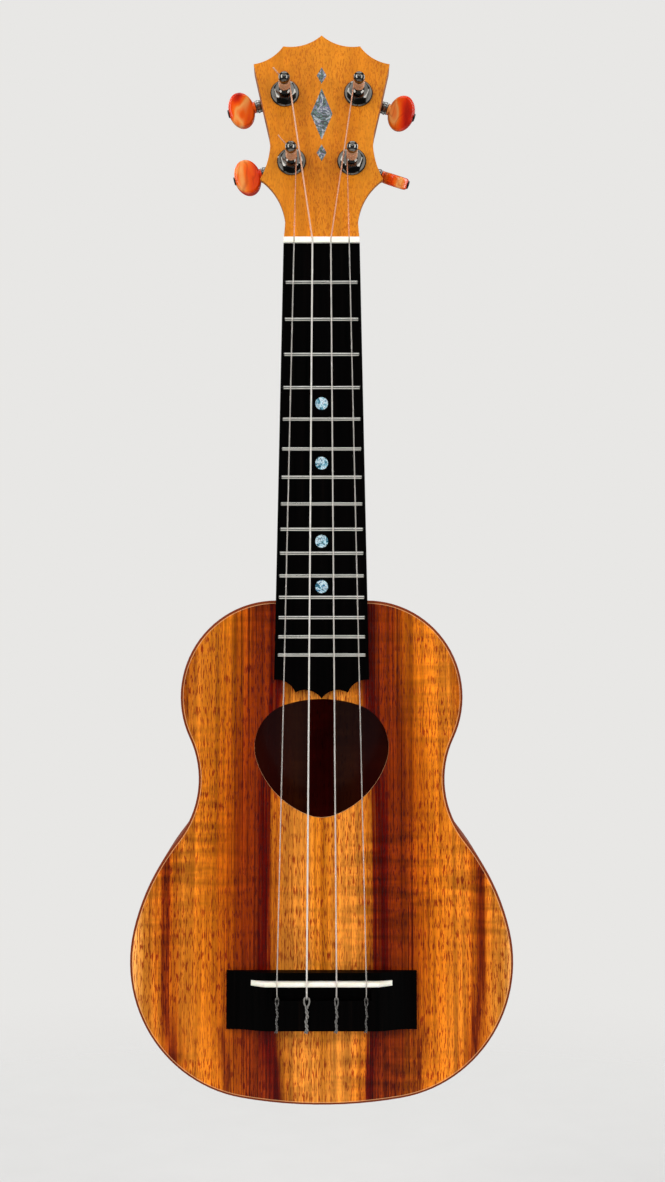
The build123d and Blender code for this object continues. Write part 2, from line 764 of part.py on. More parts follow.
for name, (across, up, side_sign, droop, turn, tail_length, tail_angle) in tuners.items():
    frame = tuner_plane(name)
    post_axis = Axis(frame.origin, frame.z_dir)
    worm_y = -side_sign * centre_distance
    shaft_origin = frame.from_local_coords((0, worm_y, gear_level))
    shaft_frame = Plane(origin=shaft_origin, x_dir=frame.y_dir * -side_sign, z_dir=frame.x_dir)
    shaft_axis = Axis(shaft_origin, frame.x_dir)
    low_wall = min(-side_sign * housing_above, side_sign * housing_below)
    high_wall = max(-side_sign * housing_above, side_sign * housing_below)
    middle = ((housing_front - housing_rear) / 2, (low_wall + high_wall) / 2)
    footprint = (housing_front + housing_rear, housing_above + housing_below)

    with BuildPart() as housing:
        with BuildSketch(frame):
            with Locations(middle):
                RectangleRounded(*footprint, 2.0)
        extrude(amount=housing_height)
        with BuildSketch(frame):
            with Locations((-housing_rear - foot[2], 0)):
                RectangleRounded(foot[0], foot[1], 2.0)
        extrude(amount=floor_height)
        with BuildSketch(shaft_frame.offset(housing_front - boss_root)):
            Circle(boss_radius)
        extrude(amount=boss_end - housing_front + boss_root)
        with BuildSketch(frame.offset(floor_height)):
            with Locations(middle):
                RectangleRounded(footprint[0] - 2 * housing_wall, footprint[1] - 2 * housing_wall, 0.8)
        extrude(amount=housing_height, mode=Mode.SUBTRACT)
        with BuildSketch(shaft_frame):
            Circle(shaft_radius + running_gap)
        extrude(amount=boss_end + 1, mode=Mode.SUBTRACT)
        with BuildSketch(shaft_frame.offset(journal_ends[0] - journal_gap)):
            Circle(journal_radius + running_gap)
        extrude(amount=journal_ends[1] - journal_ends[0] + 2 * journal_gap, mode=Mode.SUBTRACT)
        with BuildSketch(frame):
            Circle(post_radius + running_gap)
            with Locations((-housing_rear - foot_screw, 0)):
                Circle(screw_radius)
        extrude(amount=floor_height, mode=Mode.SUBTRACT)
    housing.part.label = f"housing_{name}"
    export_step(housing.part, f"parts/housing_{name}.step")

    with BuildPart() as cover:
        with BuildSketch(frame.offset(housing_height)):
            with Locations(middle):
                RectangleRounded(*footprint, 2.0)
        extrude(amount=cover_thickness)
        outer_face = cover.faces().sort_by(post_axis)[-1]
        fillet(outer_face.edges(), 0.6)
    cover.part.label = f"cover_{name}"
    export_step(cover.part, f"parts/cover_{name}.step")

    with BuildPart() as worm_shaft:
        add(worm.part.moved(shaft_frame.location))
        with BuildSketch(axial(frame, (0, worm_y, gear_level), "x")):
            low, high = journal_ends
            add(section((0, low), (journal_radius, low), (journal_radius, high), (0, high)))
            rings = [(radius, boss_end + distance) for radius, distance in shaft_rings]
            stem_end = button_centre + stem_into_button
            shaft_foot = ((0, shaft_start), (shaft_radius, shaft_start))
            add(section(*shaft_foot, *rings, (stem_radius, stem_end), (0, stem_end)))
        revolve(axis=shaft_axis)
    worm_shaft.part.label = f"worm_shaft_{name}"
    export_step(worm_shaft.part, f"parts/worm_shaft_{name}.step")

    with BuildPart() as button:
        outer_end = button_centre + button_size[0] / 2
        centre = frame.from_local_coords((button_centre, worm_y, gear_level))
        broad = frame.y_dir.rotate(Axis((0, 0, 0), frame.x_dir), turn)
        with BuildSketch(Plane(origin=centre, x_dir=frame.x_dir, z_dir=frame.x_dir.cross(broad))):
            Ellipse(button_size[0] / 2, button_size[1] / 2)
        extrude(amount=button_size[2] / 2, both=True)
        fillet(button.edges(), button_edge)
        with BuildSketch(shaft_frame.offset(boss_end + button_gap)):
            Circle(button_neck[0])
        extrude(amount=button_neck[1])
        with BuildSketch(shaft_frame.offset(boss_end)):
            Circle(stem_radius)
        extrude(amount=button_centre + stem_into_button - boss_end, mode=Mode.SUBTRACT)
        with BuildSketch(shaft_frame.offset(button_centre)):
            Circle(screw_radius)
        extrude(amount=button_size[0], mode=Mode.SUBTRACT)
        with BuildSketch(shaft_frame.offset(outer_end - screw_head[1])):
            Circle(screw_head[0] + screw_head_gap)
        extrude(amount=2 * screw_head[1], mode=Mode.SUBTRACT)
    button.part.label = f"button_{name}"
    export_step(button.part, f"parts/button_{name}.step")

    with BuildPart() as button_screw:
        with BuildSketch(shaft_frame.offset(button_centre + stem_into_button)):
            Circle(screw_radius)
        extrude(amount=button_size[0] / 2 - stem_into_button - screw_head[1])
        with BuildSketch(shaft_frame.offset(outer_end - screw_head[1])):
            Circle(screw_head[0])
        extrude(amount=screw_head[1] + screw_head[2])
        crown = button_screw.faces().sort_by(shaft_axis)[-1]
        fillet(crown.edges(), screw_crown_round)
        with BuildSketch(shaft_frame.offset(outer_end + screw_head[2])):
            Rectangle(cross_slot[0], cross_slot[1])
            Rectangle(cross_slot[1], cross_slot[0])
        extrude(amount=-cross_slot[2], mode=Mode.SUBTRACT)
    button_screw.part.label = f"button_screw_{name}"
    export_step(button_screw.part, f"parts/button_screw_{name}.step")

    with BuildPart() as post:
        tip = back_of_head - post_height
        collar = back_of_head - hex_top
        seat = gear_level - gear_face / 2 - post_shoulder
        heel_end = gear_level + gear_face / 2 + post_shoulder
        shoulder, cap_end, waist_start = (tip + distance for distance in post_cap)
        with BuildSketch(axial(frame)):
            with BuildLine():
                ThreePointArc((0, tip), (post_dome[0], tip + post_dome[1]), (post_head, shoulder))
                Polyline(
                    (post_head, shoulder),
                    (post_head, cap_end),
                    (post_waist, waist_start),
                    (post_waist, collar - post_collar[0]),
                    (post_radius, collar - post_collar[1]),
                    (post_radius, seat),
                    (post_seat, seat),
                    (post_seat, heel_end),
                    (0, heel_end),
                    (0, tip),
                )
            make_face()
        revolve(axis=post_axis)
        tail_plane = HEAD_FACE.offset(tail_height)
        hub = tail_plane.from_local_coords((across, up, 0))
        tail_direction = tail_plane.x_dir.rotate(Axis((0, 0, 0), tail_plane.z_dir), tail_angle)
        with BuildSketch(Plane(origin=hub, z_dir=tail_direction)):
            Circle(tail_hole_radius)
        extrude(amount=2 * post_waist, both=True, mode=Mode.SUBTRACT)
    post.part.label = f"post_{name}"
    export_step(post.part, f"parts/post_{name}.step")

    with BuildPart() as gear:
        add(wheel.part.moved(frame.offset(gear_level - gear_face / 2).location))
    gear.part.label = f"gear_{name}"
    export_step(gear.part, f"parts/gear_{name}.step")

    with BuildPart() as winding:
        with BuildSketch(axial(frame)):
            room = tail_height - tail_hole_radius - winding_bottoms[name]
            winding_turns = int(room / winding_pitch)
            stack = (winding_turns - 1) * winding_pitch
            top_turn = back_of_head - winding_bottoms[name] - stack
            with Locations((post_waist + winding_pitch / 4, top_turn + stack / 2)):
                Rectangle(winding_pitch / 2, stack)
            for index in range(winding_turns):
                with Locations((post_waist + winding_pitch / 2, top_turn + index * winding_pitch)):
                    Circle(winding_pitch / 2)
        revolve(axis=post_axis)
        with BuildSketch(Plane(origin=hub - tail_direction * post_waist, z_dir=tail_direction)):
            Circle(strings[name][2] / 2)
        extrude(amount=tail_length + post_waist)
    winding.part.label = f"winding_{name}"
    export_step(winding.part, f"parts/winding_{name}.step")
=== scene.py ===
from math import asin, atan2, ceil, copysign, cos, pi, radians, sin

import bpy
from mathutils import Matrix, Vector


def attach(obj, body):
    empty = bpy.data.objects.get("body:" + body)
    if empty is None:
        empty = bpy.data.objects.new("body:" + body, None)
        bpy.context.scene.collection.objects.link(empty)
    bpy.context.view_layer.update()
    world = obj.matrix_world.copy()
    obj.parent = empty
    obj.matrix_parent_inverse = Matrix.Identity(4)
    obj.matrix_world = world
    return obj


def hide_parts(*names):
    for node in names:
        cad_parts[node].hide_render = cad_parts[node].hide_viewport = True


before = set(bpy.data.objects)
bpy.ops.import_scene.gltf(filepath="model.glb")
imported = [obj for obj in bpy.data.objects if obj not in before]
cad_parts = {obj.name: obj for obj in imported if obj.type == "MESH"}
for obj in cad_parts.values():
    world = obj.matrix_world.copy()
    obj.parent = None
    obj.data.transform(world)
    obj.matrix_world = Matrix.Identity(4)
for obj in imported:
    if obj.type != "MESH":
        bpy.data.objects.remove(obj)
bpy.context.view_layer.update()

MM = 0.001

# ---------------------------------------------------------------- sizes shared with the CAD, in mm

SADDLE_CREST = -354.0        # z of the saddle's crest
SADDLE_HEIGHT = 9.8
BRIDGE_HEIGHT = 6.6
BRIDGE_REAR = -375.8
TIE_BLOCK_FRONT = -361.9
TIE_HOLE_HEIGHT = 4.5
HOLE_MIDDLE = -252.0         # z of the middle of the sound hole
NUT_MIDDLE = 1.6             # z of the middle of the nut
NUT_SLOT = 6.0               # height of the bottom of the nut's slots
HEAD_ANGLE = radians(9)
HEAD_BASE = 3.2              # z where the head's face plane starts, before the headplate
HEADPLATE = 2.0
POST_WAIST = 2.1
TAIL_HEIGHT = 16.0           # height of the hole in a post that the tail comes out of
LONG_TAIL = 5.0              # a tail longer than this rises at its free end
TAIL_LIFT = 2.0              # how far it rises

# name: (x at the nut, x at the saddle, diameter)
STRINGS = {
    "g": (-13.5, -21.0, 0.62),
    "c": (-4.5, -7.0, 0.84),
    "e": (4.5, 7.0, 0.72),
    "a": (13.5, 21.0, 0.58),
}
# the look of each string: the thicker it is, the less clear
GAUGES = {"g": "thin_nylon", "c": "thick_nylon", "e": "nylon", "a": "thin_nylon"}
# name: (across the head, up the head, tail length, tail angle, height of the coil's bottom)
POSTS = {
    "g": (-15.0, 40.2, 9.0, 135, 7.1),
    "c": (-18.5, 77.2, 7.8, 135, 8.7),
    "e": (18.5, 77.2, 3.4, 45, 8.7),
    "a": (15.0, 40.2, 3.4, 45, 7.1),
}
# distance from the centre joint, in metres, that the 0 to 1 of a koa ramp stands for
RAMP_WIDTH = 100 * MM


# ---------------------------------------------------------------- shader building

def colour(code):
    """A linear RGBA colour from an sRGB code such as "d8781e"."""
    parts = [int(code[i:i + 2], 16) / 255 for i in (0, 2, 4)]
    linear = [p / 12.92 if p <= 0.04045 else ((p + 0.055) / 1.055) ** 2.4 for p in parts]
    return (*linear, 1.0)


class Look:
    """A Principled material, built a node at a time."""

    def __init__(self, name, **settings):
        self.material = bpy.data.materials.new("look_" + name)
        self.material.use_nodes = True
        self.tree = self.material.node_tree
        self.shader = self.tree.nodes["Principled BSDF"]
        for key, value in settings.items():
            self.shader.inputs[key.replace("_", " ")].default_value = value
        self.place = self.node("ShaderNodeTexCoord").outputs["Object"]

    def node(self, kind, **attributes):
        made = self.tree.nodes.new(kind)
        for key, value in attributes.items():
            setattr(made, key, value)
        return made

    def feed(self, socket, value):
        """Links value to the socket if it is an output, or else sets it."""
        if isinstance(value, bpy.types.NodeSocket):
            self.tree.links.new(value, socket)
        else:
            socket.default_value = value

    def math(self, operation, *values, clamp=False):
        made = self.node("ShaderNodeMath", operation=operation, use_clamp=clamp)
        for socket, value in zip(made.inputs, values):
            self.feed(socket, value)
        return made.outputs[0]

    def axis(self, name, source=None):
        made = self.node("ShaderNodeSeparateXYZ")
        self.feed(made.inputs[0], self.place if source is None else source)
        return made.outputs[name]

    def vector(self, x, y, z):
        made = self.node("ShaderNodeCombineXYZ")
        for socket, value in zip(made.inputs, (x, y, z)):
            self.feed(socket, value)
        return made.outputs[0]

    def stretched(self, x, y, z, turn=(0, 0, 0), shift=(0, 0, 0)):
        """The object's own coordinates, with that many cells to the metre along each axis."""
        made = self.node("ShaderNodeMapping")
        self.feed(made.inputs["Vector"], self.place)
        made.inputs["Scale"].default_value = (x, y, z)
        made.inputs["Rotation"].default_value = turn
        made.inputs["Location"].default_value = shift
        return made.outputs[0]

    def noise(self, vector, detail=2.0, rough=0.5, distortion=0.0, scale=1.0):
        made = self.node("ShaderNodeTexNoise")
        self.feed(made.inputs["Vector"], vector)
        made.inputs["Scale"].default_value = scale
        made.inputs["Detail"].default_value = detail
        made.inputs["Roughness"].default_value = rough
        made.inputs["Distortion"].default_value = distortion
        return made.outputs["Fac"]

    def span(self, value, low, high, to_low=0.0, to_high=1.0):
        """value, smoothly remapped from low..high and held at both ends."""
        made = self.node("ShaderNodeMapRange", interpolation_type="SMOOTHSTEP")
        for socket, number in zip(made.inputs, (value, low, high, to_low, to_high)):
            self.feed(socket, number)
        return made.outputs[0]

    def ramp(self, value, stops, mode="LINEAR"):
        """stops: [(position, colour code), ...]"""
        made = self.node("ShaderNodeValToRGB")
        made.color_ramp.interpolation = mode
        elements = made.color_ramp.elements
        while len(elements) < len(stops):
            elements.new(0.5)
        for element, (position, code) in zip(elements, stops):
            element.position = position
            element.color = colour(code)
        self.feed(made.inputs[0], value)
        return made.outputs[0]

    def mix(self, amount, a, b, blend="MIX"):
        made = self.node("ShaderNodeMix", data_type="RGBA", blend_type=blend)
        for socket, value in zip((made.inputs[0], made.inputs[6], made.inputs[7]), (amount, a, b)):
            self.feed(socket, value)
        return made.outputs[2]

    def shade(self, base, factor):
        """base times a grey factor."""
        grey = self.vector(factor, factor, factor)
        return self.mix(1.0, base, grey, "MULTIPLY")

    def bump(self, height, depth, strength=1.0, under=None):
        """A bump whose height 0..1 is depth mm deep."""
        made = self.node("ShaderNodeBump")
        made.inputs["Strength"].default_value = strength
        made.inputs["Distance"].default_value = depth * MM
        self.feed(made.inputs["Height"], height)
        if under is not None:
            self.feed(made.inputs["Normal"], under)
        return made.outputs[0]

    def finish(self, base, roughness=None, normal=None):
        self.feed(self.shader.inputs["Base Color"], base)
        if roughness is not None:
            self.feed(self.shader.inputs["Roughness"], roughness)
        if normal is not None:
            self.feed(self.shader.inputs["Normal"], normal)
        return self.material


def wood(
    look, base, grain, pores, figure,
    swing=0.3, pore_tint="c8bcb0", grain_depth=0.12, pore_share=0.58, seed=0.0,
):
    """Adds growth lines, pores and cross figure to a base colour, and returns (colour, pores, lines).
    grain, pores and figure are cells to the metre along x, y and z. swing is the depth of the figure,
    pore_tint what the pores multiply the colour by, and pore_share the level of noise that makes a pore."""
    lines = look.noise(look.stretched(*grain, shift=(seed, seed, 0)), detail=4, rough=0.7)
    base = look.shade(base, look.span(lines, 0.34, 0.66, 1 - grain_depth, 1 + grain_depth))
    broad = look.noise(look.stretched(*(cells / 4 for cells in grain), shift=(0, seed, 0)), detail=3)
    base = look.shade(base, look.span(broad, 0.32, 0.68, 1 - grain_depth, 1 + grain_depth))
    dots = look.noise(look.stretched(*pores, shift=(0, seed, seed)), detail=2.5, rough=0.55)
    pore = look.span(dots, pore_share, pore_share + 0.07)
    crowd = look.noise(look.stretched(60, 60, 25), detail=1)
    pore = look.math("MULTIPLY", pore, look.span(crowd, 0.25, 0.55, 0.45, 1.0))
    dark = look.mix(1.0, base, colour(pore_tint), "MULTIPLY")
    base = look.mix(pore, base, dark)
    ripple = look.noise(look.stretched(*figure, shift=(seed, 0, seed)), detail=2, rough=0.55)
    where = look.noise(look.stretched(14, 14, 9, shift=(seed, 3, 0)), detail=1)
    depth = look.span(where, 0.4, 0.62, swing / 6, swing)
    curl = look.math("MULTIPLY", look.span(ripple, 0.3, 0.7, -1.0, 1.0), depth)
    base = look.shade(base, look.math("ADD", curl, 1.0))
    return base, pore, lines


def varnish(look, base, pore, lines, rough, spread, pore_depth=0.05, pore_strength=0.5):
    """Ends a wood: it is a little duller along its lines, and its pores are sunk."""
    dull = look.math("ADD", look.math("MULTIPLY", lines, spread), rough)
    return look.finish(base, dull, look.bump(look.math("SUBTRACT", 1.0, pore), pore_depth, pore_strength))


# ---------------------------------------------------------------- materials

def koa_top():
    """The soundboard: two book-matched leaves, so the colour bands follow the distance from the joint."""
    look = Look("koa_top", Specular_IOR_Level=0.12)
    x = look.axis("X")
    z = look.axis("Z")
    wander = look.noise(look.stretched(9, 9, 5), detail=2)
    drift = look.math("MULTIPLY", look.math("SUBTRACT", wander, 0.5), 6 * MM)
    streaks = look.noise(look.stretched(360, 360, 4), detail=5, rough=0.75)
    drift = look.math("ADD", drift, look.math("MULTIPLY", look.math("SUBTRACT", streaks, 0.5), 17 * MM))
    # The bands close in on the joint towards both ends of the body.
    drift = look.math("ADD", drift, look.span(z, -430 * MM, -345 * MM, 7 * MM, 0.0))
    drift = look.math("ADD", drift, look.span(z, -285 * MM, -190 * MM, 0.0, 7 * MM))
    across = look.math("ADD", look.math("ABSOLUTE", x), drift)
    bands = look.ramp(look.math("DIVIDE", across, RAMP_WIDTH), [
        (0.000, "b8620e"),
        (0.020, "cc7618"),
        (0.090, "de882e"),
        (0.170, "de862c"),
        (0.225, "c46c16"),
        (0.256, "761803"),
        (0.270, "540501"),
        (0.300, "5c0802"),
        (0.330, "842c05"),
        (0.410, "863004"),
        (0.460, "aa4e06"),
        (0.530, "c4680f"),
        (0.600, "d47618"),
        (0.665, "d67a1e"),
        (0.715, "b85a0c"),
        (0.735, "8a3406"),
        (0.748, "581203"),
        (0.762, "8c3606"),
        (0.790, "cc6c14"),
        (0.860, "f09430"),
        (0.920, "fcb05c"),
    ])
    # A second dark streak on each leaf, only below the bridge.
    lower = look.span(z, -372 * MM, -380 * MM)
    off_streak = look.math("ABSOLUTE", look.math("SUBTRACT", across, 50 * MM))
    streak = look.math("MULTIPLY", lower, look.span(off_streak, 3.4 * MM, 0.0))
    bands = look.mix(look.math("MULTIPLY", streak, 0.85), bands, colour("5c0e03"))
    # Hair-thin lines, some darker and some lighter, run with the grain through the dark bands.
    past_pale = look.span(across, 22 * MM, 28 * MM)
    in_dark = look.math("MULTIPLY", past_pale, look.span(across, 56 * MM, 44 * MM))
    hair = look.noise(look.stretched(800, 800, 3.5), detail=3, rough=0.75)
    pale = look.math("MULTIPLY", look.span(hair, 0.53, 0.62), in_dark)
    bands = look.mix(look.math("MULTIPLY", pale, 0.26), bands, colour("b0480a"))
    deep = look.math("MULTIPLY", look.span(hair, 0.48, 0.38), in_dark)
    bands = look.mix(look.math("MULTIPLY", deep, 0.8), bands, colour("3c0201"))
    base, pore, lines = wood(
        look, bands, grain=(420, 420, 6), pores=(1800, 1800, 200), figure=(35, 35, 200),
        swing=0.34, pore_tint="b0745c", grain_depth=0.25, pore_share=0.515,
    )
    # The rounded edge has a thin painted highlight line where it starts and, beyond it, a brown band that is
    # partly painted shade; round the sound hole the roundover is painted pale as a painted highlight.
    turn = look.math("ABSOLUTE", look.axis("Y", look.node("ShaderNodeNewGeometry").outputs["Normal"]))
    painted_glint = look.math("MULTIPLY", look.span(turn, 0.9999, 0.998), look.span(turn, 0.965, 0.985))
    edge = look.span(turn, 0.985, 0.95)
    along = look.math("SUBTRACT", z, HOLE_MIDDLE * MM)
    reach = look.math("SQRT", look.math("ADD", look.math("POWER", x, 2.0), look.math("POWER", along, 2.0)))
    inside = look.span(reach, 48 * MM, 43 * MM)
    # Painted highlight: a thin pale line where the roundover starts.
    base = look.mix(look.math("MULTIPLY", painted_glint, 0.6), base, colour("f0b078"))
    # Partly painted shade: the roundover is darkened brown where it turns away from the front, over the
    # finish's own darker edge.
    base = look.mix(look.math("MULTIPLY", edge, look.math("SUBTRACT", 1.0, inside)), base, colour("782e08"))
    # Painted highlight: the sound hole's roundover is painted pale.
    base = look.mix(look.math("MULTIPLY", edge, inside), base, colour("d9a070"))
    rough = look.math("ADD", look.math("MULTIPLY", lines, 0.12), 0.2)
    rough = look.math("ADD", rough, look.math("MULTIPLY", pore, 0.15))
    rough = look.math("ADD", rough, look.math("MULTIPLY", edge, 0.35))
    sunk = look.bump(look.math("SUBTRACT", 1.0, pore), 0.05, 0.5)
    return look.finish(base, rough, look.bump(lines, 0.03, 0.35, sunk))


def koa_head():
    """The headplate: a plainer, golden cut, with painted shade on its edge."""
    look = Look("koa_head", Specular_IOR_Level=0.16)
    tone = look.noise(look.stretched(45, 45, 5, turn=(HEAD_ANGLE, 0, 0)), detail=3)
    base = look.ramp(tone, [(0.25, "c66e08"), (0.42, "d47c10"), (0.55, "dc8618"), (0.75, "ce760a")])
    base, pore, lines = wood(
        look, base, grain=(420, 420, 14), pores=(1500, 1500, 420), figure=(30, 30, 120),
        swing=0.08, pore_tint="e2ccb2", grain_depth=0.07, pore_share=0.52, seed=4.0,
    )
    turn = look.math("ABSOLUTE", look.axis("Y", look.node("ShaderNodeNewGeometry").outputs["Normal"]))
    # Painted shade: faces turned away from the front are darkened.
    base = look.mix(look.span(turn, 0.9, 0.5), base, look.shade(base, 0.8))
    return varnish(look, base, pore, lines, 0.3, 0.2, pore_depth=0.04, pore_strength=0.45)


def koa_sides():
    """The ribs: the grain runs round the body, so it varies mostly with depth."""
    look = Look("koa_sides", Coat_Weight=0.15, Coat_Roughness=0.12, Specular_IOR_Level=0.2)
    tone = look.noise(look.stretched(6, 75, 6), detail=4, rough=0.6)
    base = look.ramp(tone, [
        (0.28, "4a1204"), (0.40, "78280a"), (0.48, "9a4410"), (0.56, "b35a18"), (0.66, "8a340b"),
        (0.76, "5b1805"),
    ])
    base, pore, lines = wood(
        look, base, grain=(8, 520, 8), pores=(200, 1300, 200), figure=(110, 14, 110),
        grain_depth=0.15, seed=2.0,
    )
    return varnish(look, base, pore, lines, 0.26, 0.16)


def koa_back():
    """The back: book-matched like the top, in a darker cut."""
    look = Look("koa_back", Coat_Weight=0.3, Coat_Roughness=0.1, Specular_IOR_Level=0.2)
    wander = look.noise(look.stretched(8, 8, 5, shift=(3, 0, 1)), detail=3)
    drift = look.math("MULTIPLY", look.math("SUBTRACT", wander, 0.5), 16 * MM)
    across = look.math("ADD", look.math("ABSOLUTE", look.axis("X")), drift)
    base = look.ramp(look.math("DIVIDE", across, RAMP_WIDTH), [
        (0.00, "8a3c10"), (0.03, "a9581c"), (0.14, "b5621d"), (0.20, "94400f"), (0.24, "591705"),
        (0.30, "7e2d0a"), (0.42, "a4500f"), (0.52, "b5601a"), (0.60, "7d2c0a"), (0.64, "5c1a06"),
        (0.72, "934212"), (0.90, "a85416"),
    ])
    base, pore, lines = wood(
        look, base, grain=(420, 420, 6), pores=(1150, 1150, 210), figure=(24, 24, 130),
        grain_depth=0.14, seed=6.0,
    )
    # Its inner face, seen through the sound hole, is painted darker and redder as painted shade for the dark
    # inside of the body.
    facing = look.axis("Y", look.node("ShaderNodeNewGeometry").outputs["Normal"])
    base = look.mix(look.span(facing, -0.3, -0.7), base, look.mix(0.8, base, colour("4c0602")))
    return varnish(look, base, pore, lines, 0.26, 0.16)


def mahogany():
    """The neck: straight even grain under a satin coat."""
    look = Look("mahogany", Coat_Weight=0.2, Coat_Roughness=0.3, Specular_IOR_Level=0.4)
    tone = look.noise(look.stretched(32, 32, 4), detail=4, rough=0.6)
    base = look.ramp(tone, [(0.28, "8a4418"), (0.45, "a55a22"), (0.6, "b5692b"), (0.78, "94501d")])
    base, pore, lines = wood(
        look, base, grain=(450, 450, 7), pores=(1300, 1300, 150), figure=(40, 40, 90),
        pore_tint="c2ac9c", grain_depth=0.08, seed=9.0,
    )
    return varnish(look, base, pore, lines, 0.36, 0.2, pore_depth=0.04)


def ebony():
    """Fretboard and bridge: almost black, with brown hints and fine open pores."""
    look = Look("ebony", Specular_IOR_Level=0.02)
    tone = look.noise(look.stretched(500, 500, 12), detail=4, rough=0.65)
    base = look.ramp(tone, [(0.35, "010101"), (0.6, "030202"), (0.8, "0c0705")])
    dots = look.noise(look.stretched(1500, 1500, 260), detail=1)
    pore = look.span(dots, 0.6, 0.68)
    rough = look.math("ADD", look.math("MULTIPLY", tone, 0.22), 0.34)
    return look.finish(base, rough, look.bump(look.math("SUBTRACT", 1.0, pore), 0.03, 0.4))


def inner_wood():
    """Blocks, linings and braces, unvarnished, painted dark red as painted shade for the inside of the body.
    """
    look = Look("inner_wood", Roughness=0.7, Specular_IOR_Level=0.08)
    tone = look.noise(look.stretched(60, 60, 5), detail=3)
    base = look.ramp(tone, [(0.3, "4c0402"), (0.55, "6c0c04"), (0.75, "7c1a08")])
    base, _, lines = wood(
        look, base, grain=(600, 600, 8), pores=(1200, 1200, 200), figure=(30, 30, 120), seed=1.0
    )
    return look.finish(base, None, look.bump(lines, 0.04, 0.4))


def metal(name, dark, light, rough, brushed=(300, 300, 300), smudge=0.12, crown=1.0):
    """Plated metal: a slight drift of tone, fine brushing and finger marks in the gloss.
    crown is how much of its brightness is left on the top and the low flanks of a fret, darkened as a painted
    reflection of the dark room in front."""
    look = Look(name, Metallic=1.0)
    tone = look.noise(look.stretched(180, 180, 180), detail=3)
    base = look.ramp(tone, [(0.3, dark), (0.7, light)])
    if crown < 1.0:
        # Painted reflection: a fret's top and low flanks are darkened for the dark room in front that they
        # mirror.
        front = look.axis("Y", look.node("ShaderNodeNewGeometry").outputs["Normal"])
        base = look.shade(base, look.span(front, -0.99, -0.95, crown, 1.0))
        base = look.shade(base, look.span(front, -0.86, -0.7, 1.0, crown))
    marks = look.noise(look.stretched(*brushed), detail=3, rough=0.7)
    gloss = look.math("ADD", look.math("MULTIPLY", marks, smudge), rough - smudge / 2)
    return look.finish(base, gloss, look.bump(marks, 0.004, 0.25))


def fret_wire():
    """Nickel silver, brushed along each fret."""
    return metal("fret_wire", "f0eee4", "fffdf4", 0.28, brushed=(60, 900, 900), smudge=0.08, crown=0.12)


def bone():
    """Nut and saddle: off-white, with faint cream flecks along their length."""
    look = Look(
        "bone", Roughness=0.3, Specular_IOR_Level=0.5,
        Subsurface_Weight=0.08, Subsurface_Scale=0.002,
    )
    tone = look.noise(look.stretched(60, 400, 400), detail=3)
    base = look.ramp(tone, [(0.3, "f3efd9"), (0.55, "fdfbf0"), (0.75, "f7f2e0")])
    flecks = look.noise(look.stretched(500, 2600, 2600), detail=1)
    base = look.mix(look.math("MULTIPLY", look.span(flecks, 0.6, 0.7), 0.35), base, colour("d9cda6"))
    return look.finish(base, None, look.bump(flecks, 0.01, 0.3))


def nylon(name, clear, *stops):
    """String nylon; clear is how much light it lets through, and stops are its colours from dark to light.
    Over the head it is painted peach, painted light from the head's wood showing through, and where it is
    tied over the block it is painted darker, painted shade from the dark bridge under it."""
    look = Look(name, Specular_IOR_Level=0.5, Transmission_Weight=clear, IOR=1.45)
    tone = look.noise(look.stretched(900, 900, 120), detail=2)
    base = look.ramp(tone, list(zip((0.3, 0.6, 0.8), stops)))
    z = look.axis("Z")
    # Painted light: peach from the head's wood, as if seen through the nylon.
    base = look.mix(look.span(z, 0.0, 6 * MM, 0.0, 0.75), base, colour("f8b07c"))
    # Painted shade: the string is darkened over the tie block, for the dark bridge under it.
    base = look.shade(base, look.span(z, -362.5 * MM, -359.5 * MM, 0.3, 1.0))
    rough = look.math("ADD", look.math("MULTIPLY", tone, 0.2), 0.15)
    return look.finish(base, rough)


def shell(name, stops):
    """Abalone: curling layers that change colour across short distances, with dark seams."""
    look = Look(name, Roughness=0.16, Specular_IOR_Level=0.6, Coat_Weight=0.6, Coat_Roughness=0.08)
    layers = look.noise(look.stretched(210, 210, 210), detail=3, rough=0.6, distortion=2.6)
    base = look.ramp(look.span(layers, 0.36, 0.64), stops)
    seams = look.noise(look.stretched(320, 320, 260, shift=(2, 0, 5)), detail=1, distortion=3.0)
    off_seam = look.math("ABSOLUTE", look.math("SUBTRACT", seams, 0.5))
    base = look.mix(look.span(off_seam, 0.045, 0.0), base, look.shade(base, 0.1))
    return look.finish(base, None, look.bump(layers, 0.02, 0.25))


def pearloid():
    """Marbled amber plastic: soft folded clouds of pale pearl in orange."""
    look = Look(
        "amber_pearl", Roughness=0.25, Specular_IOR_Level=0.3, Coat_Weight=0.2, Coat_Roughness=0.05,
        Subsurface_Weight=0.1, Subsurface_Scale=0.002,
    )
    place = look.stretched(85, 60, 42, shift=(0.4, 0, 0.2))
    folds = look.noise(place, detail=2, rough=0.35, distortion=0.7)
    base = look.ramp(folds, [
        (0.28, "b01400"), (0.38, "e03000"), (0.47, "fa5200"), (0.55, "ff7414"), (0.62, "ffae5c"),
        (0.70, "fc6408"), (0.78, "e43800"),
    ])
    veins = look.noise(look.stretched(120, 60, 40, shift=(5, 0, 2)), detail=1, distortion=0.8)
    off_vein = look.math("ABSOLUTE", look.math("SUBTRACT", veins, 0.5))
    base = look.mix(look.span(off_vein, 0.03, 0.0, 0.0, 0.35), base, colour("b02000"))
    return look.finish(base, None, look.bump(folds, 0.02, 0.15))


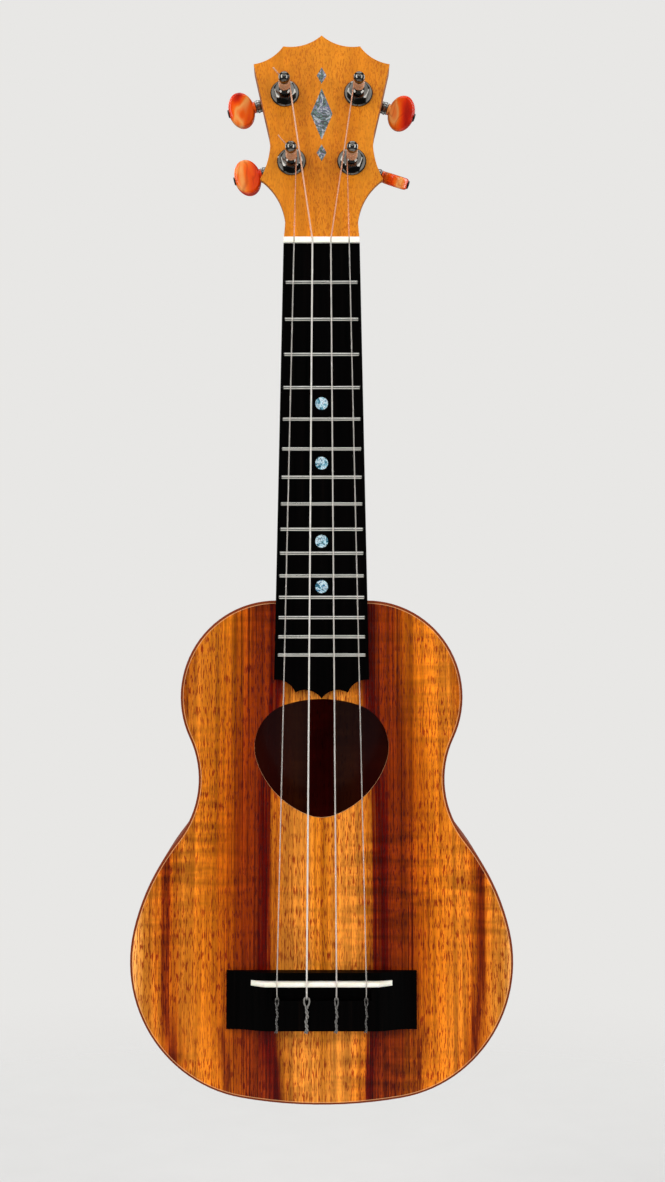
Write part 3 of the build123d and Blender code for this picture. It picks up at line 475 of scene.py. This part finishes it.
LOOKS = {
    "koa_top": koa_top(),
    "koa_head": koa_head(),
    "koa_sides": koa_sides(),
    "koa_back": koa_back(),
    "mahogany": mahogany(),
    "ebony": ebony(),
    "inner_wood": inner_wood(),
    "fret_wire": fret_wire(),
    "bone": bone(),
    "thick_nylon": nylon("thick_nylon", 0.35, "fcf6ec", "fffaf2", "fffefa"),
    "nylon": nylon("nylon", 0.55, "f4eee6", "fcf6ee", "fffaf4"),
    "thin_nylon": nylon("thin_nylon", 0.7, "eee8e0", "f8f2ea", "fff8f0"),
    "coiled_nylon": nylon("coiled_nylon", 0.3, "98887c", "a89888", "b8a898"),
    "dots": shell("shell_dots", [
        (0.0, "1c5a72"), (0.25, "84c8dc"), (0.5, "f2f8fa"), (0.7, "92d2e6"), (0.85, "f4f8f8"),
        (1.0, "3a86b0"),
    ]),
    "inlay": shell("shell_inlay", [
        (0.0, "0a1012"), (0.2, "12342e"), (0.36, "48805c"), (0.5, "66747e"), (0.64, "28345e"),
        (0.8, "7c688c"), (1.0, "a4b0ae"),
    ]),
    "amber_pearl": pearloid(),
    "black_nickel": metal("black_nickel", "585550", "787570", 0.08, smudge=0.05),
    "dark_chrome": metal("dark_chrome", "807e7a", "a09d99", 0.1, smudge=0.06),
    "black_screw": metal("black_screw", "1a1817", "2d2a28", 0.3),
    "gear_brass": metal("gear_brass", "a9822f", "c79c43", 0.3, brushed=(900, 900, 900), smudge=0.2),
    "bolt_steel": metal("bolt_steel", "8c8c8a", "b1b1ae", 0.3, smudge=0.2),
}
# Nodes whose look isn't the one named by their CAD material.
BY_NODE = {
    "headplate": "koa_head",
    "side_left": "koa_sides",
    "side_right": "koa_sides",
    "back_plate": "koa_back",
    "heel_cap": "koa_back",
    "position_dots": "dots",
    "headstock_inlay": "inlay",
}
for name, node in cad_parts.items():
    look = BY_NODE.get(name) or node.data.materials[0].name.split(".")[0]
    node.data.materials.clear()
    node.data.materials.append(LOOKS[look])


# ---------------------------------------------------------------- strings

# clearances in mm: over the nut and saddle, round a post, over the tie block and behind it
REST_GAP = 0.02
COIL_GAP = 0.03
BLOCK_GAP = 0.04
REAR_GAP = 0.35
STRING_BEND = 1.0            # how far from a corner a string starts to bend
SADDLE_TAIL = 0.65           # the string leaves the saddle that far behind its crest
HOLE_LEAD = 0.3              # and straightens out that far inside the tie hole
TWIST_START = 1.2            # the pair starts that far in front of the turn behind the bridge
TWIST_STEPS = 60
THICK = 0.7                  # diameter above which a pair has fewer turns
THICK_TURNS = 2.6
THIN_TURNS = 3.4
SWAY = 0.3                   # how far a pair strays to the sides
EYE_FOOT = TIE_BLOCK_FRONT - 2.4  # z where a pair opens into its eye
EYE_REACH = 0.75             # how far the eye passes in front of the tie block
WIDE_EYE = 1.15              # half the width of the c string's eye
NARROW_EYE = 0.35            # and what the other eyes have on top of the string's radius
COIL_LEAD = radians(14)      # a coil starts that far before the string meets it
COIL_STEP = radians(12)      # turn from one ring of the coil's mesh to the next
COIL_PITCH = 1.03            # rise of a turn, in diameters
FEWEST_TURNS = 3


def head_point(across, up, height):
    """A point in mm over the headplate's face."""
    base = Vector((across, up * sin(HEAD_ANGLE), HEAD_BASE + up * cos(HEAD_ANGLE)))
    return base + Vector((0, -cos(HEAD_ANGLE), sin(HEAD_ANGLE))) * (HEADPLATE + height)


def head_local(point):
    """The (across, up, height) of a point in mm."""
    rise = point - Vector((0, 0, HEAD_BASE))
    up = rise.y * sin(HEAD_ANGLE) + rise.z * cos(HEAD_ANGLE)
    return rise.x, up, rise.z * sin(HEAD_ANGLE) - rise.y * cos(HEAD_ANGLE) - HEADPLATE


def rounded(points, distance, steps=6):
    """The points with each corner replaced by a short curve that starts and ends at that distance from it."""
    path = [points[0]]
    for before, corner, after in zip(points, points[1:], points[2:]):
        near = min(distance, (before - corner).length * 0.45, (after - corner).length * 0.45)
        first = corner + (before - corner).normalized() * near
        last = corner + (after - corner).normalized() * near
        for i in range(steps + 1):
            t = i / steps
            path.append(first * (1 - t) ** 2 + corner * 2 * t * (1 - t) + last * t * t)
    path.append(points[-1])
    return path


def tube(name, points, radius, look, sides=12):
    """A closed round tube in mm along the points, as a mesh object in metres."""
    verts, faces, across = [], [], None
    for i, point in enumerate(points):
        ahead = points[min(i + 1, len(points) - 1)] - points[max(i - 1, 0)]
        ahead.normalize()
        if across is None:
            across = ahead.orthogonal().normalized()
        across = (across - ahead * across.dot(ahead)).normalized()
        side = ahead.cross(across)
        for k in range(sides):
            turn = 2 * pi * k / sides
            verts.append((point + (across * cos(turn) + side * sin(turn)) * radius) * MM)
    rings = len(points)
    for i in range(rings - 1):
        for k in range(sides):
            a, b = i * sides + k, i * sides + (k + 1) % sides
            faces.append((a, b, b + sides, a + sides))
    faces.append(tuple(range(sides))[::-1])
    faces.append(tuple(range((rings - 1) * sides, rings * sides)))
    mesh = bpy.data.meshes.new(name)
    mesh.from_pydata(verts, [], faces)
    mesh.validate()
    for face in mesh.polygons:
        face.use_smooth = len(face.vertices) == 4
    made = bpy.data.objects.new(name, mesh)
    bpy.context.scene.collection.objects.link(made)
    mesh.materials.append(LOOKS[look])
    return made


def tangent(name):
    """Where a string leaves its coil: its place at the nut, then start, heading and length in the plane of
    the head, and the coil's radius."""
    nut_x, _, diameter = STRINGS[name]
    across, up = POSTS[name][:2]
    nut = Vector((nut_x, -(NUT_SLOT + diameter / 2 + REST_GAP), NUT_MIDDLE))
    start = head_local(nut)
    run = Vector((across - start[0], up - start[1]))
    reach = POST_WAIST + diameter / 2 + COIL_GAP
    lean = asin(reach / run.length) * copysign(1, across)
    heading = Vector((
        run.x * cos(lean) - run.y * sin(lean),
        run.x * sin(lean) + run.y * cos(lean),
    )).normalized()
    length = (run.length**2 - reach**2) ** 0.5
    return nut, Vector(start[:2]), heading, length, reach


def coil_height(name):
    return POSTS[name][4] + STRINGS[name][2] / 2


def turning_place(diameter):
    """Where a string turns back behind the bridge: its z, and its height over the soundboard."""
    return BRIDGE_REAR - diameter / 2 - REAR_GAP, BRIDGE_HEIGHT + diameter + BLOCK_GAP


def main_run(name):
    """From the coil, over the nut and saddle, through the tie block and up behind it."""
    _, x, diameter = STRINGS[name]
    radius = diameter / 2
    rear, over = turning_place(diameter)
    nut, start, heading, length, _ = tangent(name)
    end = start + heading * length
    return rounded([
        head_point(end.x, end.y, coil_height(name)),
        nut,
        Vector((x, -(SADDLE_HEIGHT + radius + REST_GAP), SADDLE_CREST - SADDLE_TAIL)),
        Vector((x, -TIE_HOLE_HEIGHT, TIE_BLOCK_FRONT - HOLE_LEAD)),
        Vector((x, -TIE_HOLE_HEIGHT, rear)),
        Vector((x, -over, rear)),
        Vector((x + radius, -over, rear + TWIST_START)),
    ], STRING_BEND)


def twisted_pair(name):
    """The two strands that lie over the tie block, wound round each other and swaying a little."""
    _, x, diameter = STRINGS[name]
    radius = diameter / 2
    rear, over = turning_place(diameter)
    begin = rear + TWIST_START
    turns = THICK_TURNS if diameter > THICK else THIN_TURNS
    out, back = [], []
    for i in range(TWIST_STEPS + 1):
        t = i / TWIST_STEPS
        z = begin + (EYE_FOOT - begin) * t
        phase = 2 * pi * turns * t
        sway = SWAY * sin((z + x) * 0.9) * sin(pi * t)
        for side, strand in ((1, out), (-1, back)):
            strand.append(Vector((
                x + sway + side * radius * cos(phase),
                -(over + side * radius * sin(phase)),
                z,
            )))
    return out, back


def eye(name, side):
    """The loop round the string in front of the tie block, from the given side to the other."""
    _, x, diameter = STRINGS[name]
    _, over = turning_place(diameter)
    wide = WIDE_EYE if name == "c" else NARROW_EYE + diameter / 2
    slope = (SADDLE_HEIGHT - TIE_HOLE_HEIGHT) / (SADDLE_CREST - TIE_BLOCK_FRONT)
    under = TIE_HOLE_HEIGHT + slope * EYE_REACH - diameter - 0.05
    far = TIE_BLOCK_FRONT + EYE_REACH
    return [
        Vector((x + side * wide, -(over - 0.1), EYE_FOOT + 1.3)),
        Vector((x + side * wide * 0.95, -(under + 0.9), far - 0.1)),
        Vector((x, -under, far)),
        Vector((x - side * wide * 0.95, -(under + 0.9), far - 0.1)),
        Vector((x - side * wide, -(over - 0.1), EYE_FOOT + 1.3)),
    ]


def string_points(name):
    """A whole string: the main run, the pair out to the eye and back, and the cut end."""
    _, x, diameter = STRINGS[name]
    rear, _ = turning_place(diameter)
    out, back = twisted_pair(name)
    loop = eye(name, copysign(1, out[-1].x - x))
    last = back[0].x
    low = BRIDGE_HEIGHT + diameter / 2
    tip = [Vector((last - 0.3, -(low + 0.05), rear + 0.7)), Vector((last - 0.6, -low, rear + 0.1))]
    return main_run(name) + smooth(out + loop + back[::-1] + tip)


def smooth(points, steps=3):
    """A Catmull-Rom curve through the points."""
    path = []
    ends = [points[0]] + points + [points[-1]]
    for a, b, c, d in zip(ends, ends[1:], ends[2:], ends[3:]):
        bend = 2 * a - 5 * b + 4 * c - d
        twist = 3 * b - a - 3 * c + d
        for i in range(steps):
            t = i / steps
            path.append(0.5 * (2 * b + (c - a) * t + bend * t * t + twist * t**3))
    path.append(points[-1])
    return path


def coil_points(name):
    """The turns round the post, from where the string meets it up to the tail's hole, then the tail."""
    diameter = STRINGS[name][2]
    across, up, tail, tail_angle, _ = POSTS[name]
    _, start, heading, length, reach = tangent(name)
    meet = start + heading * length - Vector((across, up))
    sense = -copysign(1, across)
    begin = atan2(meet.y, meet.x) - sense * COIL_LEAD
    low = coil_height(name)
    rise = TAIL_HEIGHT - diameter / 2 - low
    leave = radians(tail_angle)
    turns = max(FEWEST_TURNS, int(rise / (diameter * COIL_PITCH)))
    whole = sense * 2 * pi * turns
    swing = (leave - begin - whole) % (2 * pi)
    total = whole + swing if sense > 0 else whole - (2 * pi - swing) % (2 * pi)
    steps = ceil(abs(total) / COIL_STEP)
    path = []
    for i in range(steps + 1):
        t = i / steps
        angle = begin + total * t
        path.append(head_point(across + reach * cos(angle), up + reach * sin(angle), low + rise * t))
    for far in (0.4, 0.7, 1.0):
        span = reach + (tail - reach) * far
        lift = TAIL_LIFT * far**2 if tail > LONG_TAIL else 0.0
        path.append(head_point(across + span * cos(leave), up + span * sin(leave), TAIL_HEIGHT + lift))
    return path


for name, (_, _, diameter) in STRINGS.items():
    look = GAUGES[name]
    string = tube("string_run_" + name, string_points(name), diameter / 2, look)
    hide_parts("string_" + name)
    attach(string, "root")
    coil = tube("string_coil_" + name, coil_points(name), diameter / 2, "coiled_nylon")
    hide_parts("winding_" + name)
    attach(coil, "post_body_" + name)


# ---------------------------------------------------------------- floor, light and camera

FLOOR = -0.56                # z of the floor in metres


def backdrop_floor():
    """A pale floor well below the hanging instrument, fading out so that it has no far edge."""
    place = (0, 0, FLOOR)
    bpy.ops.mesh.primitive_circle_add(vertices=96, radius=1.0, fill_type="NGON", location=place)
    floor = bpy.context.object
    floor.name = "floor"
    look = Look("floor", Roughness=0.85, Specular_IOR_Level=0.1)
    grit = look.noise(look.stretched(30, 30, 30), detail=4)
    reach = look.node("ShaderNodeVectorMath", operation="LENGTH")
    look.feed(reach.inputs[0], look.place)
    look.feed(look.shader.inputs["Alpha"], look.span(reach.outputs["Value"], 0.95, 0.3))
    floor.data.materials.append(look.finish(look.ramp(grit, [(0.3, "e1e0de"), (0.7, "e3e2e0")])))


def softbox(name, place, size, power, aim=(0, 0, -0.15)):
    """A rectangular light that faces the instrument; sizes in metres, power in watts."""
    light = bpy.data.lights.new(name, "AREA")
    light.shape = "RECTANGLE"
    light.size, light.size_y = size
    light.energy = power
    made = bpy.data.objects.new(name, light)
    bpy.context.scene.collection.objects.link(made)
    made.location = place
    made.rotation_euler = (Vector(aim) - Vector(place)).to_track_quat("-Z", "Y").to_euler()
    made.visible_camera = False


def studio():
    """Soft light from both sides in front and behind and from above. The world looks pale to the camera,
    but lights the instrument only dimly."""
    softbox("key", (-1.05, -1.15, 0.45), (0.8, 1.5), 17)
    softbox("fill", (1.05, -1.15, 0.25), (0.8, 1.5), 14.5)
    softbox("overhead", (0, -1.1, 0.95), (1.6, 0.5), 3)
    softbox("back_left", (-1.6, 0.9, 0.6), (0.8, 1.5), 17)
    softbox("back_right", (1.6, 0.9, 0.4), (0.8, 1.5), 17)
    softbox("top", (0, 0.1, 1.4), (1.2, 1.2), 10)
    world = bpy.data.worlds.new("studio")
    world.use_nodes = True
    bpy.context.scene.world = world
    nodes, links = world.node_tree.nodes, world.node_tree.links
    seen, lit = nodes["Background"], nodes.new("ShaderNodeBackground")
    seen.inputs[0].default_value = colour("e8e7e5")
    lit.inputs[0].default_value = (0.9, 0.95, 1.0, 1)
    lit.inputs[1].default_value = 0.14
    rays, both = nodes.new("ShaderNodeLightPath"), nodes.new("ShaderNodeMixShader")
    links.new(rays.outputs["Is Camera Ray"], both.inputs[0])
    links.new(lit.outputs[0], both.inputs[1])
    links.new(seen.outputs[0], both.inputs[2])
    links.new(both.outputs[0], nodes["World Output"].inputs[0])


def camera():
    """The focal length and shift put the fingerboard, bridge and outline where the picture has them."""
    data = bpy.data.cameras.new("camera")
    data.sensor_width = 36.0
    data.lens = 53.22335
    data.shift_x = 0.0092
    data.shift_y = -0.1354
    data.clip_start, data.clip_end = 0.01, 20.0
    made = bpy.data.objects.new("camera", data)
    bpy.context.scene.collection.objects.link(made)
    made.location = (0, -0.850, -0.1739)
    made.rotation_euler = (radians(95.5), 0, 0)
    bpy.context.scene.camera = made


backdrop_floor()
studio()
camera()
bpy.context.scene.view_settings.view_transform = "Standard"
bpy.context.scene.view_settings.look = "None"
